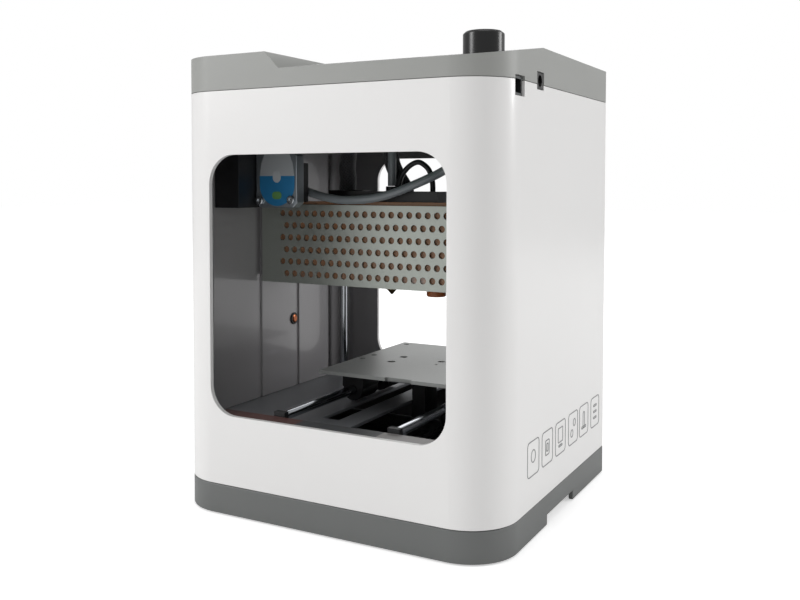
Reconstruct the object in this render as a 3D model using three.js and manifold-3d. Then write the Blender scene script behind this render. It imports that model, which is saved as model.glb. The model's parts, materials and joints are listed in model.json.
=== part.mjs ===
import * as THREE from 'three';
import { mergeVertices } from 'three/addons/utils/BufferGeometryUtils.js';
import Module from 'manifold-3d';

const wasm = await Module();
wasm.setup();

// Driving dimensions in mm. X is right, Y is back, Z is up, and the feet stand on z = 0.
const WIDTH = 210;
const DEPTH = 200;
const CORNER = 29;
const REAR_CORNER = 11;
const WALL = 3;
const GAP = 0.3;
const BASE_TOP = 18.2;
const SHELL_LOW = 18.5;
const SHELL_TOP = 249.7;
const COVER_LOW = 250;
const COVER_TOP = 270.3;
const RAMP_FRONT = 260.5;
const RAMP_SLOPE = 0.153;
const RAMP_LEFT = -27;
const RAMP_BACK = -36;
const WINDOW = { half: 76.5, low: 59.7, high: 212.5, corner: 17 };
const REAR_WINDOW = { half: 73, low: 59.7, high: 214.5, corner: 17 };
const DECK = { low: 48, high: 50 };
const Y_ROD = { x: 38, z: 58.6, r: 3, front: -82.6, rear: 93.8 };
const Z_ROD = { x: 92, y: 78, r: 3 };
const SCREW = { x: 84, y: 55, r: 3 };
const X_ROD = { r: 4, y: 20, low: 145, high: 172 };
const BELT_R = 6.6;
const X_BELT = { z: 158, left: -72, right: 66 };
const Y_BELT = { z: 31, front: -72, rear: 72 };
const PANEL = { half: 97, front: -20, low: 130, high: 182, hole: 2.15, pitch: 6.31 };
const PANEL_ROWS = [176.2, 167.6, 160.1, 151.9, 144.3, 136.3];
const NOZZLE = { x: -8.4, tip: 124.3 };
const PROBE = { x: 23.4, r: 6, tip: 124.9 };
const BED = { half: 46.5, front: -28.5, back: 91, low: 73.8, high: 76 };
const KNOB = { x: 84, y: -70, r: 11, low: 261, high: 276 };

const group = new THREE.Group();

function solid(geometry) {
  geometry.deleteAttribute('normal');
  geometry.deleteAttribute('uv');
  const welded = mergeVertices(geometry, 1e-4);
  return new wasm.Manifold(new wasm.Mesh({
    numProp: 3,
    vertProperties: new Float32Array(welded.attributes.position.array),
    triVerts: new Uint32Array(welded.index.array),
  }));
}

function place(name, body, hex, roughness, metalness) {
  const mesh = body.getMesh();
  const geometry = new THREE.BufferGeometry();
  geometry.setAttribute('position', new THREE.BufferAttribute(new Float32Array(mesh.vertProperties), 3));
  geometry.setIndex(new THREE.BufferAttribute(new Uint32Array(mesh.triVerts), 1));
  geometry.computeVertexNormals();
  const material = new THREE.MeshStandardMaterial({ color: hex, roughness, metalness });
  const node = new THREE.Mesh(geometry, material);
  node.name = name;
  group.add(node);
}

function box(x0, x1, y0, y1, z0, z1) {
  const geometry = new THREE.BoxGeometry(x1 - x0, y1 - y0, z1 - z0);
  geometry.translate((x0 + x1) / 2, (y0 + y1) / 2, (z0 + z1) / 2);
  return solid(geometry);
}

// A cylinder along axis 'x', 'y' or 'z' from a to b; u and v are the other two coordinates in order.
function rod(axis, r, a, b, u, v, sides = 24) {
  const geometry = new THREE.CylinderGeometry(r, r, b - a, sides);
  const mid = (a + b) / 2;
  if (axis === 'x') {
    geometry.rotateZ(Math.PI / 2);
    geometry.translate(mid, u, v);
  } else if (axis === 'y') {
    geometry.translate(u, mid, v);
  } else {
    geometry.rotateX(Math.PI / 2);
    geometry.translate(u, v, mid);
  }
  return solid(geometry);
}

function roundedShape(halfX, halfY, r, rear = r) {
  const shape = new THREE.Shape();
  shape.moveTo(halfX, -halfY + r);
  shape.lineTo(halfX, halfY - rear);
  shape.absarc(halfX - rear, halfY - rear, rear, 0, Math.PI / 2);
  shape.lineTo(-halfX + rear, halfY);
  shape.absarc(-halfX + rear, halfY - rear, rear, Math.PI / 2, Math.PI);
  shape.lineTo(-halfX, -halfY + r);
  shape.absarc(-halfX + r, -halfY + r, r, Math.PI, Math.PI * 1.5);
  shape.lineTo(halfX - r, -halfY);
  shape.absarc(halfX - r, -halfY + r, r, Math.PI * 1.5, Math.PI * 2);
  return shape;
}

function extrude(shape, length, segments = 8) {
  return new THREE.ExtrudeGeometry(shape, { depth: length, bevelEnabled: false, curveSegments: segments });
}

// The body's rounded outline, inset by a wall, from z0 to z1.
function outline(inset, z0, z1) {
  const shape = roundedShape(WIDTH / 2 - inset, DEPTH / 2 - inset, CORNER - inset, REAR_CORNER - inset);
  const geometry = extrude(shape, z1 - z0, 10);
  geometry.translate(0, 0, z0);
  return solid(geometry);
}

// A polygon of [y, z] points extruded along X, or of [x, z] points extruded along Y.
function prism(points, axis, a, b) {
  const shape = new THREE.Shape(points.map(([u, v]) => new THREE.Vector2(u, v)));
  const geometry = extrude(shape, b - a, 1);
  if (axis === 'x') {
    geometry.applyMatrix4(new THREE.Matrix4().set(0, 0, 1, a, 1, 0, 0, 0, 0, 1, 0, 0, 0, 0, 0, 1));
  } else {
    geometry.applyMatrix4(new THREE.Matrix4().set(1, 0, 0, 0, 0, 0, -1, b, 0, 1, 0, 0, 0, 0, 0, 1));
  }
  return solid(geometry);
}

function tube(points, r, steps) {
  const path = new THREE.CatmullRomCurve3(points.map((p) => new THREE.Vector3(...p)));
  const ring = new THREE.Shape();
  ring.absarc(0, 0, r, 0, Math.PI * 2);
  return solid(new THREE.ExtrudeGeometry(ring, { extrudePath: path, steps, curveSegments: 5 }));
}

function turned(profile, x, y, sides = 28) {
  const geometry = new THREE.LatheGeometry(profile.map(([r, z]) => new THREE.Vector2(r, z)), sides);
  geometry.rotateX(Math.PI / 2);
  geometry.translate(x, y, 0);
  return solid(geometry);
}

function join(bodies) {
  return bodies.reduce((whole, body) => whole.add(body));
}

function cut(body, tools) {
  return tools.reduce((rest, tool) => rest.subtract(tool), body);
}

// A belt loop round two shafts; u is the run direction, centred on z, w0 to w1 across.
function loop(axis, a, b, z, w0, w1) {
  const ends = [a, b];
  const other = axis === 'x' ? 'y' : 'x';
  const outer = BELT_R + 1.2;
  const disc = (r, c, lo, hi) => rod(other, r, lo, hi, c, z, 32);
  const bar = (r, lo, hi) => (
    axis === 'x' ? box(a, b, lo, hi, z - r, z + r) : box(lo, hi, a, b, z - r, z + r));
  const full = join([bar(outer, w0, w1), ...ends.map((c) => disc(outer, c, w0, w1))]);
  const core = join([bar(BELT_R, w0 - 1, w1 + 1), ...ends.map((c) => disc(BELT_R, c, w0 - 1, w1 + 1))]);
  return full.subtract(core);
}

// A geared wheel with two flanges on a shaft along 'x' or 'y'.
function pulley(axis, w0, w1, u, v, shaftEnd) {
  return join([
    rod(axis, BELT_R - 0.25, w0, w1, u, v, 20),
    rod(axis, BELT_R + 1.6, w0 - 0.7, w0 - 0.2, u, v, 20),
    rod(axis, BELT_R + 1.6, w1 + 0.2, w1 + 0.7, u, v, 20),
    rod(axis, BELT_R - 1.2, w0 - 0.7, w1 + 0.7, u, v, 20),
    rod(axis, 2.4, Math.min(w0, shaftEnd), Math.max(w1, shaftEnd), u, v, 16),
  ]);
}

function motor(x0, x1, y0, y1, z0, z1) {
  const bevel = 3;
  const shape = new THREE.Shape([
    [x0 + bevel, y0], [x1 - bevel, y0], [x1, y0 + bevel], [x1, y1 - bevel],
    [x1 - bevel, y1], [x0 + bevel, y1], [x0, y1 - bevel], [x0, y0 + bevel],
  ].map(([u, v]) => new THREE.Vector2(u, v)));
  const geometry = extrude(shape, z1 - z0, 1);
  geometry.translate(0, 0, z0);
  return geometry;
}

const rampZ = (y) => RAMP_FRONT + RAMP_SLOPE * (y + DEPTH / 2);

// Base pan: rounded floor with a rim below and a wall above, and a finger notch each side.
place('base_pan', cut(outline(0, 0.8, BASE_TOP), [
  outline(WALL, -1, 6.4),
  outline(WALL, 9, 30),
  box(-120, -90, -23, 25, -1, 6.4),
  box(90, 120, -23, 25, -1, 6.4),
]), 0x8f918e, 0.55, 0.1);

// Feet.
let footNumber = 0;
for (const x of [-78, 78]) {
  for (const y of [-72, 72]) {
    footNumber += 1;
    place(`foot_${footNumber}`, rod('z', 9, 0, 6.1, x, y), 0x202022, 0.9, 0);
  }
}

// Outer shell with a window front and rear and two port notches.
function windowHole(size, back) {
  const shape = roundedShape(size.half, (size.high - size.low) / 2, size.corner);
  const hole = extrude(shape, 60, 8);
  hole.rotateX(Math.PI / 2);
  hole.translate(0, back, (size.high + size.low) / 2);
  return solid(hole);
}
const usbNotch = () => box(95, 120, -76.8, -64.5, 241.3, 252);
const jackNotch = () => box(95, 120, -45.5, -34.5, 247, 256.7);
place('outer_shell', cut(outline(0, SHELL_LOW, SHELL_TOP), [
  outline(WALL, 10, 260),
  windowHole(WINDOW, -60),
  windowHole(REAR_WINDOW, 120),
  usbNotch(),
  jackNotch(),
]), 0xeeeeec, 0.35, 0);

// Top cover: hollow cap, high at the back and front left, sloped down to the front right.
function rampVoid(drop) {
  const side = prism([
    [RAMP_LEFT + 0.4 - drop, RAMP_FRONT - drop - 0.5], [RAMP_LEFT - 9.6 - drop, COVER_TOP + 0.2],
    [RAMP_LEFT - 10 - drop, 290], [130, 290], [130, RAMP_FRONT - drop - 0.5],
  ], 'y', -110, RAMP_BACK + 6 + drop);
  const slope = prism([
    [-110, rampZ(-110) - drop], [RAMP_BACK + drop, rampZ(RAMP_BACK)],
    [RAMP_BACK + drop, 290], [-110, 290],
  ], 'x', -50, 130);
  return side.intersect(slope);
}
const screenHole = box(-10, 52, -86, -50, 255, 275);
place('top_cover', cut(outline(0, COVER_LOW, COVER_TOP), [
  rampVoid(0),
  outline(WALL, 240, COVER_TOP - WALL).subtract(rampVoid(WALL)),
  usbNotch(),
  jackNotch(),
  screenHole,
  rod('z', KNOB.r + 0.9, 250, 280, KNOB.x, KNOB.y, 40),
]), 0x9c9e9c, 0.5, 0.1);

place('lcd_screen', prism([
  [-85.7, rampZ(-85.7) - 1.8], [-50.3, rampZ(-50.3) - 1.8],
  [-50.3, rampZ(-50.3) - 0.2], [-85.7, rampZ(-85.7) - 0.2],
], 'x', -9.7, 51.7), 0x26323c, 0.12, 0);
place('display_board', cut(join([
  box(-26, 92, -86, -46.8, 252.4, 254),
  box(-14, 56, -85, -48, 253.5, 257),
  box(77.5, 90.5, -76.5, -63.5, 253.5, 260),
]), [rod('z', 3.4, 254.2, 265, KNOB.x, KNOB.y)]), 0x1f5a3c, 0.55, 0.1);
place('encoder_shaft', rod('z', 3, 255, 272, KNOB.x, KNOB.y), 0xb8bbbd, 0.3, 0.9);
place('knob', turned([
  [0, 272.4], [3.1, 272.4], [3.1, KNOB.low], [KNOB.r - 0.6, KNOB.low], [KNOB.r, KNOB.low + 0.6],
  [KNOB.r, KNOB.high - 1.4], [KNOB.r - 1.4, KNOB.high], [0, KNOB.high],
], KNOB.x, KNOB.y, 40), 0x1c1c1e, 0.5, 0);

// Control board under the cover, with its two sockets at the right wall.
place('mainboard', join([
  box(-26, 92, -88, -26, 239.2, 240.8),
  box(10, 34, -70, -46, 240, 243.2),
  box(-16, -2, -60, -46, 240, 246),
  box(50, 62, -84, -72, 240, 247),
]), 0x1f6a44, 0.5, 0.1);
place('usb_port', cut(box(90, 103.6, -76.4, -64.9, 241.6, 251.6), [
  cut(box(93, 106, -74.9, -66.4, 243, 250.2), [box(90, 100, -72.6, -68.7, 245, 248.2)]),
]), 0xc6c8c8, 0.3, 0.9);
place('dc_jack', cut(join([
  box(92, 104.7, -45.1, -34.9, 247.3, 256.3),
  box(92, 94, -45.1, -34.9, 241.1, 248),
  box(98, 100, -45.1, -34.9, 241.1, 248),
]), [
  rod('x', 3.2, 94, 106, -40, 251.8).subtract(rod('x', 0.9, 90, 102, -40, 251.8, 12)),
]), 0x1a1a1c, 0.5, 0);

// Deck over the base space, with slots for the bed drive.
const deckSlots = [[-34, -22, -44], [-7, 49, -62]].map(([x0, x1, y0]) => box(x0, x1, y0, 86, 40, 60));
const screwHole = () => rod('z', 5, 30, 60, SCREW.x, SCREW.y);
const rodHoles = (r) => [-1, 1].map((side) => rod('z', r, 30, 260, side * Z_ROD.x, Z_ROD.y));
place('deck_plate', cut(outline(WALL + GAP, DECK.low, DECK.high), [
  ...deckSlots,
  screwHole(),
  ...rodHoles(3.3),
]), 0x3a3b3d, 0.5, 0.3);
place('upper_plate', cut(outline(WALL + GAP, 243, 246).intersect(box(-110, 110, 44, 110, 240, 250)), [
  rod('z', 3.3, 230, 260, SCREW.x, SCREW.y),
  ...rodHoles(3.3),
]), 0x3a3b3d, 0.5, 0.3);
place('front_sill', join([
  box(-76, 76, -96.6, -85.2, 57.5, 59.4),
  box(-76, 76, -96.6, -94.6, DECK.high + GAP, 58),
]), 0x4a3a36, 0.5, 0.1);

// Side liners with two upright grooves each.
for (const side of [-1, 1]) {
  const wallX = side * 101.7;
  const faceX = side * 99.7;
  const low = Math.min(wallX, faceX);
  const groove = side < 0 ? [-100.9, -98] : [98, 100.9];
  const liner = cut(box(low, low + 2, -68, 68, DECK.high + GAP, 238.6), [-18.7, 26.2].map((y) => (
    box(groove[0], groove[1], y - 2.2, y + 2.2, 40, 250)
  )));
  place(side < 0 ? 'left_liner' : 'right_liner', liner, 0x8b8d8c, 0.3, 0.1);
}
place('wall_screw', turned([[0, 0], [3, 0], [3, 0.9], [2, 1.4], [0, 1.4]], 0, 0, 16)
  .rotate([0, 90, 0]).translate([-99.4, 21.2, 99.3]), 0xa86a4c, 0.4, 0.8);

// Lift rods, lift motor and screw.
for (const side of [-1, 1]) {
  place(side < 0 ? 'z_rod_left' : 'z_rod_right',
    rod('z', Z_ROD.r, 30, 256, side * Z_ROD.x, Z_ROD.y, 20), 0xb9bcc0, 0.15, 1);
}
const liftCase = motor(SCREW.x - 14, SCREW.x + 14, SCREW.y - 14, SCREW.y + 14, 17, 45);
place('z_motor', cut(solid(liftCase), [rod('z', 3.4, 20, 50, SCREW.x, SCREW.y)]), 0x2a2a2c, 0.4, 0.6);
place('lead_screw', rod('z', SCREW.r, 22, 242, SCREW.x, SCREW.y, 20), 0xa9acb0, 0.3, 1);

// Bed rods, their blocks, and the bed drive under the deck.
for (const side of [-1, 1]) {
  const x = side * Y_ROD.x;
  const bar = rod('y', Y_ROD.r, Y_ROD.front, Y_ROD.rear, x, Y_ROD.z, 20);
  place(side < 0 ? 'y_rod_left' : 'y_rod_right', bar, 0xc2c5c8, 0.15, 1);
}
[['front', -84.6, -80.6, 61.9, 3.8], ['rear', 88.2, 94.2, 63, 6]].forEach(([end, y0, y1, high, half]) => {
  const low = DECK.high + GAP;
  const posts = [-1, 1].map((side) => box(side * Y_ROD.x - half, side * Y_ROD.x + half, y0, y1, low, high));
  const bores = [-1, 1].map((side) => (
    rod('y', Y_ROD.r + 0.05, Y_ROD.front - 0.05, Y_ROD.rear + 0.3, side * Y_ROD.x, Y_ROD.z, 20)));
  const strip = box(-Y_ROD.x - half, Y_ROD.x + half, y0, y1, low, 53);
  place(`y_rod_block_${end}`, cut(join([strip, ...posts]), bores), 0x2c2d2f, 0.5, 0.1);
});
const bedCase = motor(Y_BELT.rear - 14, Y_BELT.rear + 14, Y_BELT.z - 14, Y_BELT.z + 14, 8, 36);
bedCase.applyMatrix4(new THREE.Matrix4().set(0, 0, 1, 0, 1, 0, 0, 0, 0, 1, 0, 0, 0, 0, 0, 1));
place('y_motor', cut(solid(bedCase), [rod('x', 3, 0, 20, Y_BELT.rear, Y_BELT.z)]), 0x2a2a2c, 0.4, 0.6);
place('y_pulley', pulley('x', -3, 3, Y_BELT.rear, Y_BELT.z, 18), 0xb0b3b5, 0.35, 0.9);
place('y_idler', join([
  pulley('x', -3, 3, Y_BELT.front, Y_BELT.z, 3.7),
  rod('x', 2, -9, 9, Y_BELT.front, Y_BELT.z, 16),
  box(-12, -5, -79, -64, 9.3, 40),
  box(5, 12, -79, -64, 9.3, 40),
  box(-12, 12, -79, -64, 9.3, 14),
]), 0x5a5c5e, 0.45, 0.6);
place('y_belt', loop('y', Y_BELT.front, Y_BELT.rear, Y_BELT.z, -2.7, 2.7), 0x18181a, 0.8, 0);

// Bed: plate, carriage plate, spacers, four bearings and the belt arm.
const bedHoles = [
  [-41, 34.4, 2.2], [-41.6, 19.3, 2.2], [-18.9, 19, 2.8], [-19.5, 37.9, 2.8], [-41, 84, 2],
  [41, 84, 2], [41, 19, 2.2], [41, 34.4, 2.2], [11.8, 24.4, 1], [10.6, 35.1, 2.4],
];
place('bed_plate', cut(join([
  box(-BED.half, BED.half, BED.front + 2, BED.back, BED.low, BED.high),
  box(-BED.half, 2, BED.front, BED.back, BED.low, BED.high),
  box(20, BED.half, BED.front, BED.back, BED.low, BED.high),
]), bedHoles.map(([x, y, r]) => rod('z', r, 70, 80, x, y, 12))), 0xa6a8a8, 0.35, 0.9);
place('bed_carriage', cut(join([
  box(-50, 50, -5, 65, 68, 70.5),
  ...[[-30, 8], [30, 8], [-30, 52], [30, 52]].map(([x, y]) => rod('z', 3.5, 70, BED.low - GAP, x, y, 16)),
]), [
  box(-22, 22, 2, 14, 60, 80),
  box(-22, 22, 46, 58, 60, 80),
]), 0x2e2f31, 0.5, 0.3);
for (const side of [-1, 1]) {
  const x = side * Y_ROD.x;
  place(side < 0 ? 'y_bearing_left' : 'y_bearing_right', cut(join([
    rod('y', 7.4, 0, 22, x, Y_ROD.z, 20),
    rod('y', 7.4, 36, 58, x, Y_ROD.z, 20),
    box(x - 8, x + 8, 0, 22, 60, 67.7),
    box(x - 8, x + 8, 36, 58, 60, 67.7),
    box(x - 8, x + 8, 20, 38, 65.5, 67.7),
  ]), [rod('y', Y_ROD.r + 0.05, -1, 60, x, Y_ROD.z, 20)]), 0x232325, 0.5, 0.2);
}
place('belt_arm', join([
  box(-5, 5, 22, 40, 39.2, 67.7),
  box(-14, 14, 18, 44, 65, 67.7),
]), 0x2c2d2f, 0.5, 0.1);

// Beam front panel: staggered rows of holes, with a tinted sheet behind.
const holes = [];
PANEL_ROWS.forEach((z, row) => {
  const start = -80.3 + (row % 2) * PANEL.pitch / 2;
  for (let x = start; x < 82; x += PANEL.pitch) {
    holes.push(rod('y', PANEL.hole, -21, -17, x, z, 6));
  }
});
place('beam_panel', box(-PANEL.half, PANEL.half, PANEL.front, PANEL.front + 1.2, PANEL.low, PANEL.high)
  .subtract(wasm.Manifold.union(holes)), 0x8e938c, 0.35, 0.8);
place('tint_sheet', box(-83.5, 83.5, -18.5, -17.5, 131, 184.3), 0x7a4a26, 0.2, 0);

// Beam ends with bearings, rods, belt drive and motor.
const xRodHoles = () => [X_ROD.low, X_ROD.high].map((z) => rod('x', X_ROD.r + 0.05, -96, 96, X_ROD.y, z, 20));
place('beam_end_left', cut(join([
  box(-97.8, -84, -17.2, 82.6, 134, 178),
  box(-97.8, -90.4, -18.4, -16, 134, 178),
  box(-85, -64, 38, 43, 150, 166),
  pulley('y', 30.6, 35.4, X_BELT.left, X_BELT.z, 39),
]), [
  ...xRodHoles(),
  rod('z', Z_ROD.r + 0.05, 120, 190, -Z_ROD.x, Z_ROD.y, 20),
]), 0x27282a, 0.5, 0.1);
place('beam_end_right', cut(join([
  box(84, 97.8, -17.2, 82.6, 134, 178),
  box(90.4, 97.8, -18.4, -16, 134, 178),
  box(76, 85, 47, 63.5, 134, 178),
  box(49, 85, 36.4, 37.7, 141, 175),
]), [
  ...xRodHoles(),
  rod('z', Z_ROD.r + 0.05, 120, 190, Z_ROD.x, Z_ROD.y, 20),
  rod('z', SCREW.r + 0.08, 120, 190, SCREW.x, SCREW.y, 20),
  rod('y', 3.2, 30, 37.9, X_BELT.right, X_BELT.z, 16),
]), 0x27282a, 0.5, 0.1);
place('x_rod_lower', rod('x', X_ROD.r, -95.8, 95.8, X_ROD.y, X_ROD.low, 20), 0xc2c5c8, 0.15, 1);
place('x_rod_upper', rod('x', X_ROD.r, -95.8, 95.8, X_ROD.y, X_ROD.high, 20), 0xc2c5c8, 0.15, 1);
const beamCase = motor(-14, 14, -14, 14, 0, 24);
place('x_motor', cut(solid(beamCase).rotate([90, 0, 0]).translate([61, 62, X_BELT.z]), [
  rod('y', 3.2, 30, 60, X_BELT.right, X_BELT.z, 16),
]), 0x2a2a2c, 0.4, 0.6);
place('x_pulley', pulley('y', 30.6, 35.4, X_BELT.right, X_BELT.z, 52), 0xb0b3b5, 0.35, 0.9);
place('x_belt', loop('x', X_BELT.left, X_BELT.right, X_BELT.z, 30.6, 35.4), 0x18181a, 0.8, 0);

// Filament feeder on the left end of the beam.
const feederCase = motor(-79.8, -48.3, 180.6, 216.4, 0, 8);
feederCase.applyMatrix4(new THREE.Matrix4().set(1, 0, 0, 0, 0, 0, -1, -42, 0, 1, 0, 0, 0, 0, 0, 1));
place('feeder_motor', solid(feederCase), 0x8a9bb0, 0.4, 0.5);
place('feeder_bracket', join([
  box(-98.9, -80.4, -67, -23.5, 180.6, 215.6),
  box(-81, -57, -41.6, -24, 184, 209),
  box(-98.9, -84, -24, -6, 182.4, 202),
  box(-98.9, -86, -16, -7, 178.3, 184),
]), 0x1f2022, 0.5, 0.1);
place('feed_tube', tube([
  [-82.6, -14, 197.6], [-71.6, -16, 194.4], [-62, -18, 190.8], [-53.9, -19, 188.5], [-41.7, -21, 186.3],
  [-30.3, -22, 185.4], [-16, -22.5, 186], [-4.8, -22, 187.6], [5.9, -21, 190.6], [15.9, -19, 194.6],
  [25.3, -16, 198.9], [33.1, -12, 203.3], [48, -9, 212.6], [58, -7, 224], [64, -6, 238],
], 2.7, 40), 0x8d8f90, 0.5, 0);

// Carriage: bearing block, hot end, fan, probe and the leads that rise from it.
place('carriage_block', cut(join([
  box(-33, 31, 11.5, 29.5, 139, 178),
  box(-33, 31, -15, 29.5, 177.9, 186),
  box(-58, -32, 2, 13, 184.5, 191.3),
  box(-33, 31, -15, 3.6, 185.9, 190.8),
  box(-6, 6, 29, 36, 166.1, 171),
]), [
  rod('z', 5.6, 186, 195, NOZZLE.x, 0),
  ...[X_ROD.low, X_ROD.high].map((z) => rod('x', X_ROD.r + 0.08, -40, 40, X_ROD.y, z, 20)),
  rod('z', PROBE.r + 0.1, 170, 195, PROBE.x, 0, 20),
  rod('z', 2.6, 170, 190, NOZZLE.x, 0, 16),
]), 0x1d1d1f, 0.55, 0.05);
const sinkRings = [];
for (let z = 148; z < 176; z += 4) {
  sinkRings.push(rod('z', 10.5, z, z + 1.6, NOZZLE.x, 0, 24));
}
place('heat_sink', join([
  rod('z', 5, 146, 177.7, NOZZLE.x, 0, 20),
  rod('z', 2.2, 141.3, 147, NOZZLE.x, 0, 16),
  ...sinkRings,
]), 0xb4b7b8, 0.35, 0.9);
place('heater_block', box(NOZZLE.x - 8, NOZZLE.x + 10, -8, 8, 130.6, 141), 0xa9aaa8, 0.4, 0.9);
place('nozzle', turned([
  [0, NOZZLE.tip], [0.6, NOZZLE.tip], [3.2, 127.4], [3.8, 127.4], [3.8, 130.3], [0, 130.3],
], NOZZLE.x, 0, 24), 0x6a5a3c, 0.4, 0.9);
place('fan', cut(box(-23.4, 6.6, -16.6, -11.6, 147, 177), [
  cut(rod('y', 13.6, -20, -10, NOZZLE.x, 162, 20), [
    rod('y', 5.6, -20, -10, NOZZLE.x, 162, 20),
    box(-30, 20, -12.8, -10, 161, 163),
    box(NOZZLE.x - 1, NOZZLE.x + 1, -12.8, -10, 140, 180),
  ]),
]), 0x202022, 0.5, 0);
place('probe', join([
  rod('z', PROBE.r, PROBE.tip, 187.6, PROBE.x, 0, 20),
  rod('z', 3, 187.6, 189.6, PROBE.x, 0, 20),
]), 0xb6b8ba, 0.3, 0.9);
place('tube_fitting', cut(join([
  rod('z', 5.2, 186.3, 191, NOZZLE.x, 0, 6),
  rod('z', 4, 191, 194, NOZZLE.x, 0, 20),
]), [rod('z', 2.2, 180, 189, NOZZLE.x, 0, 16)]), 0x2b2b2d, 0.4, 0.3);
place('bowden_tube', tube([
  [NOZZLE.x, 0, 194.3], [NOZZLE.x, 0, 206], [NOZZLE.x, 0, 222], [NOZZLE.x, 0, 240], [NOZZLE.x, 0, 262],
], 2.75, 16), 0x9b9d9e, 0.5, 0);
place('probe_lead', tube([
  [20.8, 0, 190.2], [20.6, 0, 196], [19.6, -0.6, 201.5], [17.2, -1.2, 206], [11.9, -2, 209.3],
  [6, -2.6, 207.2],
  [1.2, -3.4, 202], [-0.6, -4.6, 196.5], [-0.6, -5.4, 191.1],
], 1.7, 20), 0x19191b, 0.6, 0);
place('loom_left', tube([
  [-46, 7, 191.7], [-45.6, 7, 199], [-46.3, 7, 206], [-45.4, 7, 216], [-44.4, 7, 228], [-44, 7, 262],
], 5.6, 16), 0x151517, 0.7, 0);
place('loom_right', tube([
  [-3.6, 11.4, 187.4], [-4.6, 11.3, 192.4], [-7.1, 11.1, 196.6], [-10.6, 11, 202], [-13.8, 11, 208.5],
  [-15.4, 11, 216], [-16.2, 11, 224], [-16.4, 11, 240], [-16.4, 11, 262],
], 5.2, 22), 0x151517, 0.7, 0);

export default group;
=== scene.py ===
import bpy
import bmesh
import json
import math
import numpy as np
from mathutils import Matrix, Vector


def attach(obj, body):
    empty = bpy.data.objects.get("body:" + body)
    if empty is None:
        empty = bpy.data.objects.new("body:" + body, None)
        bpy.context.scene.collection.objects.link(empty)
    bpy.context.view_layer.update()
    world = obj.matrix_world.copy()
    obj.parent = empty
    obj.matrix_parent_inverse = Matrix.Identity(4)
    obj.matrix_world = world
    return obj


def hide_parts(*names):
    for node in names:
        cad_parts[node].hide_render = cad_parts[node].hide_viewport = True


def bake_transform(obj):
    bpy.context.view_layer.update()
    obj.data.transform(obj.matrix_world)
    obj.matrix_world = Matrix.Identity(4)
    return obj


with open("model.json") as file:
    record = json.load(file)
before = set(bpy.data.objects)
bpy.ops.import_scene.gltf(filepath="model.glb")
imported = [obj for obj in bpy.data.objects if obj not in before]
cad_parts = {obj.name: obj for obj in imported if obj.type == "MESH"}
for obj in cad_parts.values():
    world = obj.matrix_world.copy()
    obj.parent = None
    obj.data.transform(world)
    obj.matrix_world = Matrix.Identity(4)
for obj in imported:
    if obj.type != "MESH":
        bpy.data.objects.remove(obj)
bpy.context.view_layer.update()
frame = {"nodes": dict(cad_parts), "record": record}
nodes = frame["nodes"]
scene = bpy.context.scene
mm = 0.001


# camera, floor and lights

studio = {
    "azimuth": 29.26, "elevation": 2.31, "place": (0.27552, -0.52924, 0.19651),
    "lens": 41.87, "shiftX": 0.03125, "shiftY": -0.1,
    "floor": "#fafafa", "floorShade": "#f6f6f6", "floorHalf": 6.0, "floorGlow": 0.48,
    "sky": "#ffffff", "skySeen": 1.0, "skyLight": 0.56,
    "lamps": [
        # name, place, aimed at, size in metres, watts
        ("keyLamp", (-1.7, -1.6, 1.0), (0.0, 0.0, 0.16), 1.0, 23.0),
        ("sideLamp", (1.9, 1.3, 0.9), (0.0, 0.0, 0.14), 1.0, 17.0),
        ("backLamp", (-0.6, 1.7, 1.1), (0.0, 0.0, 0.15), 1.1, 4.0),
        ("floorLamp", (0.2, -0.3, 2.4), (0.0, 0.0, 0.0), 1.6, 5.0),
    ],
}


def hexToLinear(code):  # sRGB hex to scene-linear red, green, blue, alpha
    srgb = np.array([int(code[i:i + 2], 16) for i in (1, 3, 5)]) / 255.0
    linear = np.where(srgb <= 0.04045, srgb / 12.92, ((srgb + 0.055) / 1.055) ** 2.4)
    return (*linear.tolist(), 1.0)


def addNode(tree, kind, settings=None, links=None):
    node = tree.nodes.new(kind)
    for key, value in (settings or {}).items():
        if isinstance(key, str) and hasattr(node, key):
            setattr(node, key, value)
        else:
            node.inputs[key].default_value = value
    for key, source in (links or {}).items():
        tree.links.new(source, node.inputs[key])
    return node


def addCamera():
    turn = math.radians(studio["azimuth"])
    tilt = math.radians(studio["elevation"])
    back = Vector((math.sin(turn) * math.cos(tilt), -math.cos(turn) * math.cos(tilt), math.sin(tilt)))
    data = bpy.data.cameras.new("viewCamera")
    data.lens = studio["lens"]
    data.shift_x = studio["shiftX"]
    data.shift_y = studio["shiftY"]
    data.clip_start = 0.01
    camera = bpy.data.objects.new("viewCamera", data)
    camera.matrix_world = Matrix.Translation(studio["place"]) @ back.to_track_quat("Z", "Y").to_matrix().to_4x4()
    scene.collection.objects.link(camera)
    scene.camera = camera


def addLamps():
    for name, place, target, size, watts in studio["lamps"]:
        data = bpy.data.lights.new(name, "AREA")
        data.shape = "DISK"
        data.size = size
        data.energy = watts
        lamp = bpy.data.objects.new(name, data)
        aim = Vector(place) - Vector(target)
        lamp.matrix_world = Matrix.Translation(place) @ aim.to_track_quat("Z", "Y").to_matrix().to_4x4()
        scene.collection.objects.link(lamp)
    world = bpy.data.worlds.new("studioWorld")
    world.use_nodes = True
    tree = world.node_tree
    sky = tree.nodes["Background"]
    sky.inputs["Color"].default_value = hexToLinear(studio["sky"])
    seen = addNode(tree, "ShaderNodeLightPath").outputs["Is Camera Ray"]
    # white backdrop, softer light on the object
    strength = addNode(tree, "ShaderNodeMapRange", {"To Min": studio["skyLight"], "To Max": studio["skySeen"]},
                       {"Value": seen})
    tree.links.new(strength.outputs["Result"], sky.inputs["Strength"])
    scene.world = world
    scene.view_settings.view_transform = "Standard"


addCamera()
addLamps()
print("stage: camera and lamps")


# materials

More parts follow.
